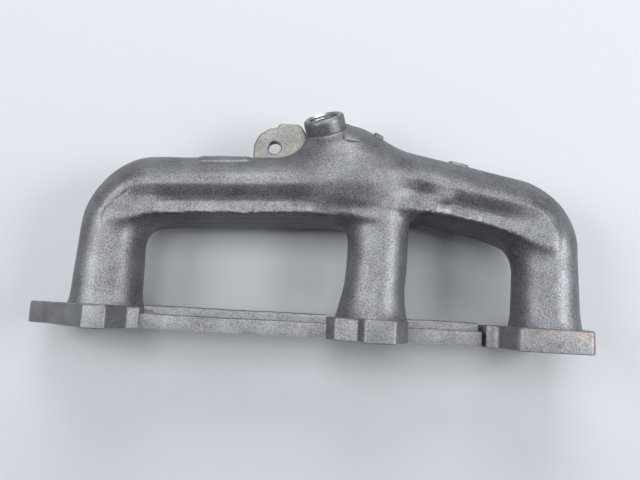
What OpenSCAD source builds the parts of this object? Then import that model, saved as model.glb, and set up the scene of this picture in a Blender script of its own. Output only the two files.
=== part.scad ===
// Cast-iron exhaust manifold for one bank of three cylinders.
// Millimetres. Origin: centre of the middle port on the cylinder-head face.
// +X runs along the engine towards the saw-cut end, +Y leaves the cylinder head, +Z is up.
// The rear outlet face and the lower edges of the head flange share one level,
// so the part lies flat on a bench.

/* [Head flange] */
// Distance of the far port from the middle port
far_port = 142; // [136:1:150]
// Distance of the near port from the middle port
near_port = 93; // [90:1:100]
// Thickness of the port pads
pad_t = 11.5; // [10:0.5:13]
// Reach of each port pad above and below the port centres
pad_reach = 36; // [35:0.5:38]
// Height of the bolt holes above and below the port centres
bolt_z = 27.5; // [27:0.5:28.5]
// Radius of the head bolt holes
bolt_hole_r = 4.5; // [4:0.25:5]
// Radius of the port mouths in the head face
port_r = 14; // [13.75:0.25:15]
// Width of the saw cut that lets the flange expand
saw_cut = 2.4; // [1.5:0.1:4]

/* [Connecting strips] */
// Height of the front step of the strips, measured from the head face
strip_t = 8; // [6:0.5:9]
// Half depth of the strips
strip_half = 14; // [12:1:16]
// Height of the stiffening rib on the strips
rib_t = 12.5; // [12:0.5:14]

/* [Runners] */
// Outer radius of the runners
pipe_r = 17.5; // [17:0.25:18]
// Radius of the gas passage
gas_r = 13.5; // [12.5:0.25:14]
// Height at which the outer runners start to bend
bend_y = 54; // [50:1:56]
// Centreline radius of the runner bends
bend_r = 22; // [21:0.5:23]

/* [Log] */
// Slope of the far log towards the collector
far_slope = 3; // [2:0.5:4]
// Slope of the near log towards the collector
near_slope = 11; // [10:0.5:12]
// Depth that the log grows behind the runner centres
log_depth = 8; // [6:1:9]

/* [Collector and outlet] */
// Collector centre along the engine
hub_x = -15; // [-16:0.5:-14]
// Collector centre above the head face
hub_y = 94; // [93:0.5:95]
// Outer radius of the collector
hub_r = 27.5; // [27:0.25:28]
// Radius of the outlet bore
outlet_r = 20; // [19:0.5:20.5]
// Distance between the two outlet bolt holes
outlet_pitch = 74; // [72:1:76]
// Wall radius of the outlet bolt holes
outlet_hole_r = 4.25; // [4:0.05:4.5]

/* [Sensor boss] */
// Outer radius of the sensor boss
boss_r = 12; // [11.5:0.25:12.5]
// Wall radius of the sensor thread
sensor_r = 8.25; // [8:0.05:8.5]
// Tilt of the sensor boss away from the head normal, towards +Z
boss_tilt = 30; // [28:1:32]
// Lean of the sensor boss towards the far port
boss_lean = 18.5; // [17:0.5:20]

/* [Shield lug] */
// Radius of the hole in the heat-shield lug
lug_hole_r = 3.4; // [3:0.1:3.6]
// Thickness of the lug
lug_t = 5; // [4:0.5:6]

/* [Hidden] */

// Fineness of the preview; the solids themselves are true rounds
$fn = 96;
// Overshoot of every cutting tool
cut = 1;
// Wall of the gas passages
wall = pipe_r - gas_r;
// Step by which each hole grows past the piece before it, and by which the strips clear the head
relief = 0.5;
// Level that the part rests on
floor_z = -pad_reach;
// Corner radius of the bolt ears
ear_r = 10.5;
// Far bolt ear, beside the far port
far_ear = [-far_port - 35.5, -14];
// Position of the saw cut
saw_x = near_port - 37.5;
// Edges of the strips
far_strip_from = -far_port + 22.5;
far_strip_to = -24;
near_strip_from = 18;
// Upper and lower levels of the collector, the neck and the outlet flange
hub_top = 21;
hub_bottom = -23;
neck_bottom = -27;
// Level where the drum's side ends and its dome begins
dome_from = 4;
// Rounding of the collector's upper edge
hub_round = 13;
// Depth of the outlet gasket seat
seat_depth = 2.5;
// Lengths of the log stubs on the collector
far_stub_end = -50;
near_stub_end = 24;
// How far the far stub runs on past the collector's centre
stub_overrun = 10;
// Height where the middle runner ends and the collector's own stub begins
middle_top = 55;
// Centre of the sensor boss's seat on the collector
boss_seat = [-26.5, 105, -1];
// Top of the sensor boss and its inner end, both measured from that point
boss_length = 18.5;
boss_from = 5;
// Depth that the boss's hole reaches below the seat
boss_root = 14;
// Front of the heat-shield lug and its hole
lug_front = 0;
lug_hole = [-57.6, 103];
// Angles through which the two end bends turn
far_turn = 90 - far_slope;
near_turn = 90 - near_slope;
// Ends of the bends, where the logs begin
far_log_start = [-far_port + bend_r * (1 - cos(far_turn)), bend_y + bend_r * sin(far_turn)];
near_log_start = [near_port - bend_r * (1 - cos(near_turn)), bend_y + bend_r * sin(near_turn)];
// Lengths of the logs between the bends and the collector stubs
far_log_len = (far_stub_end - far_log_start[0]) / cos(far_slope);
near_log_len = (near_log_start[0] - near_stub_end) / cos(near_slope);

// A plate of thickness t on the head face, from an outline drawn in X and Z
module head_plate(t) {
    translate([0, t, 0]) rotate([90, 0, 0]) linear_extrude(t) children();
}

// A hole through the head flange at [x, z]
module head_hole(at, r, t) {
    translate([at[0], t + cut, at[1]]) rotate([90, 0, 0]) cylinder(r = r, h = t + 2 * cut);
}

// A round bar along +Y from height y0 to y1
module upright(x, r, y0, y1) {
    translate([x, y0, 0]) rotate([-90, 0, 0]) cylinder(r = r, h = y1 - y0);
}

// Puts its children where the far log starts, with +Z along the log and +X downwards
module at_far_log() {
    translate([far_log_start[0], far_log_start[1], 0]) rotate([0, 0, far_slope]) rotate([0, 90, 0]) children();
}

// Puts its children where the near log starts, with +Z along the log and +X downwards
module at_near_log() {
    translate([near_log_start[0], near_log_start[1], 0]) rotate([0, 0, 180 - near_slope]) rotate([0, 90, 0])
        children();
}

// Log section: an upper lobe that overlaps a lower one
module log_bar(r, from, to) {
    translate([0, 0, from]) cylinder(r = r, h = to - from);
    translate([log_depth, 0, from]) cylinder(r = r, h = to - from);
}

// A whole log: a round start that meets the bend, then the deeper section, with a tapered shoulder between
module log_solid(r, length) {
    cylinder(r = r, h = length);
    translate([log_depth, 0, 0]) cylinder(r1 = r - log_depth - relief, r2 = r, h = pipe_r);
    log_bar(r, pipe_r, length);
}

// A quarter bend in the XY plane, about [x, bend_y], from angle start through turn
module bend_solid(x, r, start, turn) {
    translate([x, bend_y, 0]) rotate_extrude(angle = turn, start = start) translate([bend_r, 0]) circle(r = r);
}

// The collector drum with a rounded upper edge; inset thins it evenly to make the gas chamber
module hub_solid(inset) {
    translate([hub_x, hub_y, 0]) rotate_extrude() hub_profile(hub_r - inset, hub_top - inset, hub_bottom + inset);
}

// Half section of the drum
module hub_profile(r, top, bottom) {
    translate([0, bottom]) square([r, top - hub_round - bottom]);
    square([r - hub_round, top]);
    translate([r - hub_round, top - hub_round]) intersection() {
        circle(r = hub_round);
        square(hub_round);
    }
}

// The stubs that lead the logs and the middle runner into the collector; extra starts them earlier
module far_stub_bar(r, extra) {
    at_far_log() log_bar(r, far_log_len - extra, far_log_len + (hub_x - far_stub_end) + stub_overrun);
}

module near_stub_bar(r, extra) {
    at_near_log() log_bar(r, near_log_len - extra, near_log_len + (near_stub_end - hub_x));
}

module middle_stub_bar(r, extra) {
    upright(0, r, middle_top - extra, hub_y);
}

// The drum and the neck below it, which the stubs end against
module drum_and_neck() {
    hub_solid(0);
    translate([hub_x, hub_y, neck_bottom]) cylinder(r = hub_r, h = hub_bottom - neck_bottom + cut);
}

// The gas passages of all three stubs
module stub_passages() {
    far_stub_bar(gas_r, cut);
    near_stub_bar(gas_r, cut);
    middle_stub_bar(gas_r, cut);
}

// Puts its children at the sensor boss's seat, with +Z out of the boss
module at_boss() {
    translate(boss_seat) rotate([0, 0, boss_lean]) rotate([boss_tilt - 90, 0, 0]) children();
}

module far_port_pad() {
    color("#4a4b4e") difference() {
        head_plate(pad_t) {
            translate(far_ear) circle(r = ear_r);
            polygon([[-far_port - 38.5, -24], [-far_port - 8, -pad_reach], [-far_port + 8, -pad_reach],
                [-far_port + 20, -20], [far_strip_from, -strip_half], [far_strip_from, strip_half],
                [-far_port + 17, strip_half + 4], [-far_port + 13, pad_reach], [-far_port + 2, pad_reach],
                [-far_port - 33, 0], [-far_port - 41.5, -5]]);
        }
        head_hole([-far_port, 0], port_r, pad_t);
        head_hole(far_ear, bolt_hole_r, pad_t);
        head_hole([-far_port + 7, bolt_z], bolt_hole_r, pad_t);
    }
}

module middle_port_pad() {
    color("#4a4b4e") difference() {
        head_plate(pad_t) polygon([[far_strip_to, -strip_half], [-12, -pad_reach], [9, -pad_reach],
            [near_strip_from, -strip_half], [near_strip_from, strip_half], [9, pad_reach], [-7, pad_reach],
            [-8, 24], [-20, 20], [far_strip_to, strip_half]]);
        head_hole([0, 0], port_r, pad_t);
        for (side = [-1, 1]) head_hole([0, side * bolt_z], bolt_hole_r, pad_t);
    }
}

module near_port_pad() {
    color("#4a4b4e") difference() {
        head_plate(pad_t) polygon([[saw_x + saw_cut, -strip_half], [near_port - 26, -strip_half],
            [near_port - 18, -pad_reach], [near_port + 10, -pad_reach], [near_port + 21, -10],
            [near_port + 21, 6], [near_port + 10, pad_reach], [near_port - 25, pad_reach - 2],
            [near_port - 29, strip_half], [saw_x + saw_cut, strip_half]]);
        head_hole([near_port, 0], port_r, pad_t);
        for (side = [-1, 1]) head_hole([near_port, side * bolt_z], bolt_hole_r, pad_t);
    }
}

// A strip between two pads, set back slightly from the machined head face
module strip(from, to) {
    translate([from, relief, -strip_half]) cube([to - from, strip_t - relief, 2 * strip_half]);
}

// The low rib that stiffens a strip
module rib(from, to) {
    half = strip_half / 2;
    translate([from, strip_t, -half]) cube([to - from, rib_t - strip_t, 2 * half]);
}

module far_strip() {
    color("#505154") strip(far_strip_from, far_strip_to);
}

module near_strip() {
    color("#505154") strip(near_strip_from, saw_x);
}

module far_strip_rib() {
    color("#56575a") rib(far_strip_from, far_strip_to);
}

module near_strip_rib() {
    color("#56575a") rib(near_strip_from, saw_x);
}

// A straight runner from its pad up to height y1, with a short collar where it meets the pad
module runner(x, y1) {
    collar_r = pipe_r + 1;
    collar_h = 6;
    difference() {
        union() {
            upright(x, pipe_r, pad_t, y1);
            translate([x, pad_t, 0]) rotate([-90, 0, 0]) cylinder(r1 = collar_r, r2 = pipe_r, h = collar_h);
        }
        upright(x, gas_r, pad_t - cut, y1 + cut);
    }
}

module far_runner() {
    color("#3f4043") runner(-far_port, bend_y);
}

module middle_runner() {
    color("#3f4043") runner(0, middle_top);
}

module near_runner() {
    color("#3f4043") runner(near_port, bend_y);
}

module far_bend() {
    color("#3d3e41") difference() {
        bend_solid(-far_port + bend_r, pipe_r, 180 - far_turn, far_turn);
        bend_solid(-far_port + bend_r, gas_r, 180 - far_turn, far_turn);
    }
}

module near_bend() {
    color("#3d3e41") difference() {
        bend_solid(near_port - bend_r, pipe_r, 0, near_turn);
        bend_solid(near_port - bend_r, gas_r, 0, near_turn);
    }
}

module far_log() {
    color("#424346") at_far_log() difference() {
        log_solid(pipe_r, far_log_len);
        translate([0, 0, -cut]) cylinder(r = gas_r, h = 2 * cut);
        log_solid(gas_r, far_log_len + cut);
    }
}

module near_log() {
    color("#424346") at_near_log() difference() {
        log_solid(pipe_r, near_log_len);
        translate([0, 0, -cut]) cylinder(r = gas_r, h = 2 * cut);
        log_solid(gas_r, near_log_len + cut);
    }
}

module far_stub() {
    color("#434448") difference() {
        far_stub_bar(pipe_r, 0);
        drum_and_neck();
        stub_passages();
    }
}

module middle_stub() {
    color("#434448") difference() {
        middle_stub_bar(pipe_r, 0);
        drum_and_neck();
        near_stub_bar(pipe_r, 0);
        far_stub_bar(pipe_r, 0);
        middle_stub_bar(gas_r, cut);
    }
}

module near_stub() {
    color("#434448") difference() {
        near_stub_bar(pipe_r, 0);
        drum_and_neck();
        stub_passages();
    }
}

// The hollow drum with every hole that meets it
module drum_shell() {
    difference() {
        hub_solid(0);
        hub_solid(wall);
        stub_passages();
        translate([hub_x, hub_y, hub_bottom - cut]) cylinder(r = outlet_r + 2 * relief, h = wall + 2 * cut);
        at_boss() translate([0, 0, -boss_root]) cylinder(r = sensor_r + relief, h = boss_root + boss_length);
        at_boss() translate([0, 0, boss_from]) cylinder(r = boss_r, h = boss_length);
    }
}

// A block that covers the drum's plan between two levels
module drum_block(from, to) {
    translate([hub_x - hub_r - cut, hub_y - hub_r - cut, from]) cube([2 * (hub_r + cut), 2 * (hub_r + cut), to - from]);
}

module collector() {
    color("#45464a") difference() {
        drum_shell();
        drum_block(dome_from, hub_top + cut);
    }
}

module collector_dome() {
    color("#45464a") difference() {
        drum_shell();
        drum_block(hub_bottom - cut, dome_from);
    }
}

module outlet_neck() {
    color("#45464a") translate([hub_x, hub_y, neck_bottom]) difference() {
        cylinder(r = hub_r, h = hub_bottom - neck_bottom);
        translate([0, 0, -cut]) cylinder(r = outlet_r + relief, h = hub_bottom - neck_bottom + 2 * cut);
    }
}

module outlet_flange() {
    flange_t = neck_bottom - floor_z;
    disc_r = 31;
    ear = 10.5;
    seat_r = outlet_r + 4.5;
    color("#4a4b4e") translate([hub_x, hub_y, floor_z]) difference() {
        union() {
            cylinder(r = disc_r, h = flange_t);
            for (side = [-1, 1]) translate([side * outlet_pitch / 2, 0, 0]) cylinder(r = ear, h = flange_t);
            translate([-outlet_pitch / 2, -ear + 0.3, 0]) cube([outlet_pitch, 2 * ear - 0.6, flange_t]);
        }
        translate([0, 0, -cut]) cylinder(r = outlet_r, h = flange_t + 2 * cut);
        translate([0, 0, -cut]) cylinder(r = seat_r, h = seat_depth + cut);
        for (side = [-1, 1]) translate([side * outlet_pitch / 2, 0, -cut])
            cylinder(r = outlet_hole_r, h = flange_t + 2 * cut);
    }
}

module sensor_boss() {
    color("#4c4d50") difference() {
        at_boss() translate([0, 0, boss_from]) cylinder(r = boss_r, h = boss_length - boss_from);
        at_boss() cylinder(r = sensor_r, h = boss_length + cut);
    }
}

module shield_lug() {
    far_x = -69;
    near_x = -37;
    // Height of the log's top at the lug's far edge
    foot = far_log_start[1] + (far_x - far_log_start[0]) * tan(far_slope) + pipe_r / cos(far_slope);
    color("#5a5855") difference() {
        translate([0, 0, lug_front - lug_t]) linear_extrude(lug_t) polygon([[far_x, foot], [far_x, 106],
            [-66.5, 111], [-61, 114.5], [-56.5, 115], [-55, 117.5], [-42, 117.5], [near_x, 108],
            [near_x, foot + (near_x - far_x) * tan(far_slope)]]);
        translate([lug_hole[0], lug_hole[1], lug_front - lug_t - cut]) cylinder(r = lug_hole_r, h = lug_t + 2 * cut);
        translate([hub_x, hub_y, 0]) cylinder(r = hub_r, h = 4 * lug_t, center = true);
        at_boss() cylinder(r = boss_r, h = boss_length);
    }
}

// A raised panel on top of the far log
module casting_pad() {
    pad_l = 32;
    pad_w = 12;
    rise = 1;
    color("#4a4b4e") at_far_log() difference() {
        translate([-pad_w / 2 - 2, rise, 22]) cube([pad_w, pipe_r, pad_l]);
        translate([0, 0, pipe_r]) cylinder(r = pipe_r, h = far_log_len);
    }
}

// A raised round panel on the front of the collector
module collector_pad() {
    pad_r = 6;
    rise = 1;
    color("#4a4b4e") translate([hub_x, hub_y + 5, hub_top]) cylinder(r = pad_r, h = rise);
}

// A raised round-ended panel on top of the near log
module oval_pad() {
    end_r = 4;
    half_l = 2.5;
    rise = 1;
    from = 34;
    color("#4a4b4e") at_near_log() difference() {
        translate([-2, 0, from]) rotate([90, 0, 0]) {
            for (end = [-half_l, half_l]) translate([0, end, 0]) cylinder(r = end_r, h = pipe_r + rise);
            translate([0, 0, (pipe_r + rise) / 2])
                cube([2 * end_r - 0.2, 2 * half_l, pipe_r + rise], center = true);
        }
        cylinder(r = pipe_r, h = near_log_len);
    }
}

// A small round nub on the collector's near shoulder
module locating_nub() {
    nub_r = 3;
    color("#4a4b4e") difference() {
        translate([8, 96, 0]) rotate([-90, 0, 0]) cylinder(r = nub_r, h = 15.5);
        hub_solid(0);
        near_stub_bar(pipe_r, 0);
    }
}

far_port_pad();
middle_port_pad();
near_port_pad();
far_strip();
near_strip();
far_strip_rib();
near_strip_rib();
far_runner();
middle_runner();
near_runner();
far_bend();
near_bend();
far_log();
near_log();
far_stub();
middle_stub();
near_stub();
collector();
collector_dome();
outlet_neck();
outlet_flange();
sensor_boss();
shield_lug();
casting_pad();
collector_pad();
oval_pad();
locating_nub();
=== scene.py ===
import logging
import math
from dataclasses import dataclass, field
from enum import Enum
from typing import Callable, Iterable, Sequence

import bmesh
import bpy
import numpy as np
from mathutils import Matrix, Vector, noise


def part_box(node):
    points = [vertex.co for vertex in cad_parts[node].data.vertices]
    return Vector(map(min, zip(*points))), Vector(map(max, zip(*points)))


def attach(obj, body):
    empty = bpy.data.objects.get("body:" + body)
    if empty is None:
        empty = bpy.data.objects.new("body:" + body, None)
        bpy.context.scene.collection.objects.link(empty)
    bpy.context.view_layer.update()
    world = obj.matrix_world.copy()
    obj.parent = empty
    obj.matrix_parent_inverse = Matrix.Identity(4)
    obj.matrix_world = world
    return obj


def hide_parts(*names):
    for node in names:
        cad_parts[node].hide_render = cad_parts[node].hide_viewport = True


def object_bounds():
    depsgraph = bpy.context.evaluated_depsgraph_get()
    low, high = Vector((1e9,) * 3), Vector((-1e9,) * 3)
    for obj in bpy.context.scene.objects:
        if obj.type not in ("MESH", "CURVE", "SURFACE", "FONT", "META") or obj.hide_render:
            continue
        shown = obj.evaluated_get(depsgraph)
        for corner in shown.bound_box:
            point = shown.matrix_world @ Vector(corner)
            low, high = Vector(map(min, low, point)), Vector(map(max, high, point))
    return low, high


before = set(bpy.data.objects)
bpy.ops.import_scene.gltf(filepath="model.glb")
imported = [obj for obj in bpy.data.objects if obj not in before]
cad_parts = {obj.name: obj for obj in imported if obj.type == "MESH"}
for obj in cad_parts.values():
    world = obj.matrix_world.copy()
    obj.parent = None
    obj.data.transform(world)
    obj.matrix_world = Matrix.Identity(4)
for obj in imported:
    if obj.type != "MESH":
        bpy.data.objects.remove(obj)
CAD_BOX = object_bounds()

logging.basicConfig(level=logging.INFO, format="%(message)s")
LOG = logging.getLogger("exhaust_manifold")

MM = 0.001
Loop = list[tuple[float, float]]


class Slot(Enum):
    """Material slots of the record that a piece takes its finish from."""

    CAST = "cast_skin"
    FLANGE = "flange_iron"
    BOSS = "boss_iron"
    LUG = "lug_iron"


# --------------------------------------------------------------------------- small helpers


def linear(hex_colour: str) -> tuple[float, float, float, float]:
    """Turn an sRGB hex colour into linear RGBA.

    Args:
        hex_colour: colour such as "#3b3c40".

    Returns:
        The linear colour with full alpha.
    """
    parts = [int(hex_colour[i : i + 2], 16) / 255 for i in (1, 3, 5)]
    return (*[c / 12.92 if c <= 0.04045 else ((c + 0.055) / 1.055) ** 2.4 for c in parts], 1.0)


def smoothstep(low: float, high: float, value: np.ndarray) -> np.ndarray:
    """Smooth 0..1 ramp of value between low and high.

    Args:
        low: where the ramp starts.
        high: where the ramp ends.
        value: values to ramp.

    Returns:
        The ramp, clamped to 0..1.
    """
    t = np.clip((value - low) / (high - low), 0.0, 1.0)
    return t * t * (3 - 2 * t)


def smooth_min(a: np.ndarray, b: np.ndarray, radius: float) -> np.ndarray:
    """Union of two distance fields with a fillet.

    Args:
        a: first field, mm.
        b: second field, mm.
        radius: size of the blend, mm.

    Returns:
        The blended field.
    """
    h = np.maximum(radius - np.abs(a - b), 0.0) / radius
    return np.minimum(a, b) - h * h * radius / 4


# --------------------------------------------------------------------------- the shape as a field


@dataclass(frozen=True)
class Section:
    """Closed log section as radii about its own centre, by angle from the outer side towards +Z.

    Attributes:
        knots: pairs of angle in degrees and radius in mm.
        rounding: spread of the corner rounding, degrees.
    """

    knots: tuple[tuple[float, float], ...]
    rounding: float = 2.2

    def table(self) -> np.ndarray:
        """Sample the section every half degree with its corners rounded.

        Returns:
            720 radii in mm.
        """
        angles = np.arange(0, 360, 0.5)
        raw = np.interp(angles, *np.array(self.knots).T, period=360)
        offsets = np.arange(-20, 21)
        weights = np.exp(-0.5 * (offsets * 0.5 / self.rounding) ** 2)
        weights /= weights.sum()
        return sum(w * np.roll(raw, k) for w, k in zip(weights, offsets))


LOG_SECTION = Section(
    (
        (0, 18.4), (25, 18.5), (50, 18.9), (68, 20.0), (82, 21.3), (92, 21.2), (101, 19.9), (110, 18.7),
        (119, 18.7), (127, 20.4), (133.5, 23.2), (139, 20.6), (153, 18.0), (170, 17.3), (185, 17.6),
        (204, 20.2), (214, 23.2), (221, 24.6), (235, 23.6), (252, 22.2), (270, 21.5), (307, 20.0), (345, 18.4),
    )
)


@dataclass(frozen=True)
class Branch:
    """A runner that rises from its port, bends and runs along the log to the collector.

    Attributes:
        port_x: port centre along the engine, mm.
        toward: +1 if the collector lies towards +X, else -1.
        bend_y: height where the bend starts, mm.
        bend_r: centreline radius of the bend, mm.
        slope: rise of the log, radians.
        reach: distance along X from the port to the log's end in the collector, mm.
        runner_r: runner radius, mm.
        log_scale: size of the log section against LOG_SECTION.
        seed: offset into the noise, so that the two flashes differ.
        corner: blend between runner and log in the window's corner, mm.
        foot: flare of the runner on its pad, mm.
        drop: how far the log's centre lies below the ports, mm.
    """

    port_x: float
    toward: float
    bend_y: float
    bend_r: float
    slope: float
    reach: float
    runner_r: float
    log_scale: float
    seed: float
    corner: float
    foot: float = 1.4
    drop: float = 4.0

    @property
    def turn(self) -> float:
        """Angle through which the bend turns, radians."""
        return math.pi / 2 - self.slope

    @property
    def log_start(self) -> tuple[float, float]:
        """Start of the log as (distance towards the collector, height), mm."""
        return (self.bend_r * (1 - math.cos(self.turn)), self.bend_y + self.bend_r * math.sin(self.turn))

    @property
    def log_s(self) -> float:
        """Distance along the centreline where the log starts, mm."""
        return self.bend_y + self.bend_r * self.turn

    def along(self, p: np.ndarray) -> tuple[np.ndarray, np.ndarray, np.ndarray]:
        """Coordinates of points along the branch.

        Args:
            p: points, N x 3, mm.

        Returns:
            Distance along the centreline, offset to the outer side, and distance past the end.
        """
        q = (p[:, 0] - self.port_x) * self.toward
        y = p[:, 1]
        dist, s_all, u_all, past = [], [], [], []
        dist.append(np.hypot(q, y - np.minimum(y, self.bend_y)))
        s_all.append(np.minimum(y, self.bend_y))
        u_all.append(-q)
        past.append(np.zeros_like(q))
        cq, cy = q - self.bend_r, y - self.bend_y
        angle = np.clip(np.arctan2(cy, -cq), 0, self.turn)
        on_q, on_y = -self.bend_r * np.cos(angle), self.bend_r * np.sin(angle)
        dist.append(np.hypot(cq - on_q, cy - on_y))
        s_all.append(self.bend_y + self.bend_r * angle)
        u_all.append(np.hypot(cq, cy) - self.bend_r)
        past.append(np.zeros_like(q))
        sq, sy = self.log_start
        c, s = math.cos(self.slope), math.sin(self.slope)
        length = (self.reach - sq) / c
        t = (q - sq) * c + (y - sy) * s
        u = -(q - sq) * s + (y - sy) * c
        tc = np.clip(t, 0, length)
        dist.append(np.hypot(u, t - tc))
        s_all.append(self.log_s + tc)
        u_all.append(u)
        past.append(np.maximum(t - length, 0))
        pick = np.argmin(np.array(dist), axis=0)[None]
        return tuple(np.take_along_axis(np.array(v), pick, 0)[0] for v in (s_all, u_all, past))

    def skin(self, p: np.ndarray) -> np.ndarray:
        """Distance-like field of the branch's outside.

        Args:
            p: points, N x 3, mm.

        Returns:
            Field values, negative inside.
        """
        s, u, past = self.along(p)
        w = smoothstep(self.bend_y - 10, self.log_s - 4, s)
        pipe = self.runner_r + self.foot * np.exp(-np.maximum(s - 11.5, 0) / 4.5) - 0.6 * smoothstep(20, 50, s)
        radius, ring = self._log_ring(s, u, p[:, 2] + self.drop * w, past)
        sweep = radius - ((1 - w) * pipe + w * ring)
        q, y = (p[:, 0] - self.port_x) * self.toward, p[:, 1]
        above = np.maximum(y - self.bend_y - 4, 0)
        runner = np.sqrt(q * q + p[:, 2] ** 2 + above**2) - (self.runner_r - 0.6)
        (sq, sy), c, d = self.log_start, math.cos(self.slope), math.sin(self.slope)
        t, up = (q - sq) * c + (y - sy) * d, -(q - sq) * d + (y - sy) * c
        beyond = np.maximum(np.maximum(-4 - t, t - (self.reach - sq) / c), 0)
        radius, ring = self._log_ring(self.log_s + t, up, p[:, 2] + self.drop, beyond)
        web = smooth_min(runner, radius - ring, self.corner) + 0.25 * np.maximum(u, 0)
        return np.minimum(sweep, web)

    def _log_ring(
        self, s: np.ndarray, u: np.ndarray, z: np.ndarray, past: np.ndarray
    ) -> tuple[np.ndarray, np.ndarray]:
        """Distance of points from the log's centreline, and the log's own radius on that side."""
        angle = np.degrees(np.arctan2(z, u)) % 360
        table = LOG_SECTION.table() * self.log_scale
        ring = np.interp(angle, np.arange(0, 360, 0.5), table, period=360)
        swing = np.abs((angle - 133) % 360)
        lip = np.exp(-((np.minimum(swing, 360 - swing) / 8) ** 2))
        wave = 0.55 * np.sin(s / 7 + self.seed) + 0.4 * np.sin(s / 3.1 + 2 * self.seed) + 0.25 * np.sin(s * 1.1)
        ring = ring + lip * wave * smoothstep(self.bend_y, self.log_s, s)
        return np.sqrt(u * u + z * z + past**2), ring

    def gas(self, p: np.ndarray, gas_r: float, depth: float) -> np.ndarray:
        """Field of the branch's gas passage.

        Args:
            p: points, N x 3, mm.
            gas_r: passage radius, mm.
            depth: how far the log passage grows downwards, mm.

        Returns:
            Field values, negative inside the passage.
        """
        s, u, past = self.along(p)
        low = depth * smoothstep(self.log_s - 10, self.log_s + 20, s)
        z = p[:, 2] - np.clip(p[:, 2], -low, 0)
        return np.sqrt(u * u + z**2 + past**2) - gas_r

    def point(self, s: float, up: float = 0.0) -> Vector:
        """A point on the centreline.

        Args:
            s: distance along the centreline, mm.
            up: offset to the outer side, mm.

        Returns:
            The point at Z = 0, mm.
        """
        if s <= self.bend_y:
            q, y = -up, s
        elif s <= self.log_s:
            a = (s - self.bend_y) / self.bend_r
            q = self.bend_r - (self.bend_r + up) * math.cos(a)
            y = self.bend_y + (self.bend_r + up) * math.sin(a)
        else:
            t, (sq, sy) = s - self.log_s, self.log_start
            q = sq + t * math.cos(self.slope) - up * math.sin(self.slope)
            y = sy + t * math.sin(self.slope) + up * math.cos(self.slope)
        return Vector((self.port_x + q * self.toward, y, 0))


@dataclass(frozen=True)
class Lump:
    """A soft bump or hollow on the casting.

    Attributes:
        at: centre, mm.
        size: spread, mm.
        height: height, mm; negative for a hollow.
    """

    at: tuple[float, float, float]
    size: float
    height: float


@dataclass(frozen=True)
class Layout:
    """Main sizes, mm, in the part's frame: origin at the middle port, +Y off the head, +Z up."""

    far: Branch
    near: Branch
    pad_t: float
    gas_r: float = 13.5
    log_depth: float = 8.0
    hub: tuple[float, float] = (-15.0, 94.0)
    hub_front: tuple[float, float] = (-20.0, 91.5)
    hub_r: float = 27.5
    hub_front_r: float = 25.0
    hub_top: float = 18.5
    hub_round: float = 21.0
    chamber_r: float = 19.5
    chamber_round: float = 14.0
    hub_cut: float = -23.0
    neck_cut: float = -27.0
    outlet_r: float = 20.5
    middle_r: float = 16.3
    middle_cut: float = 55.0
    far_cut_x: float = -50.0
    near_cut_x: float = 24.0
    boss_at: tuple[float, float, float] = (-26.5, 105.0, -1.0)
    boss_axis: tuple[float, float, float] = (-0.2748, 0.8213, 0.5)
    boss_r: float = 11.2
    boss_cut: float = 10.0
    boss_top: float = 17.9
    sensor_r: float = 8.25
    lumps: tuple[Lump, ...] = (
        Lump((31, 74, 14), 6.0, 2.6),
        Lump((37, 76, 15), 4.0, 1.2),
        Lump((46, 62, -20), 3.2, 2.4),
        Lump((-98, 60, -20), 2.6, 1.6),
        Lump((-72, 60, -21), 2.4, 1.2),
        Lump((-86, 60, -21), 1.8, 1.0),
        Lump((-118, 66, 13), 5.0, 1.0),
        Lump((-30, 70, 13), 7.0, 1.4),
        Lump((21, 69, 12), 7.0, 3.0),
        Lump((-158, 72, 0), 22.0, -1.5),
    )


def read_layout() -> Layout:
    """Take the sizes that the CAD model settles from its nodes.

    Returns:
        The layout.
    """
    far_low, far_high = (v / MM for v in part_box("far_runner"))
    near_low, near_high = (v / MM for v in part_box("near_runner"))
    pad_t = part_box("middle_port_pad")[1].y / MM
    far_x, near_x = (far_low.x + far_high.x) / 2, (near_low.x + near_high.x) / 2
    return Layout(
        far=Branch(far_x, 1, 54, 22, math.radians(3), -14 - far_x, 18.0, 1.0, 0.4, 17.0),
        near=Branch(near_x, -1, 54, 22, math.radians(11), near_x + 14, 17.4, 0.95, 1.9, 20.0),
        pad_t=pad_t,
    )


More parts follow.
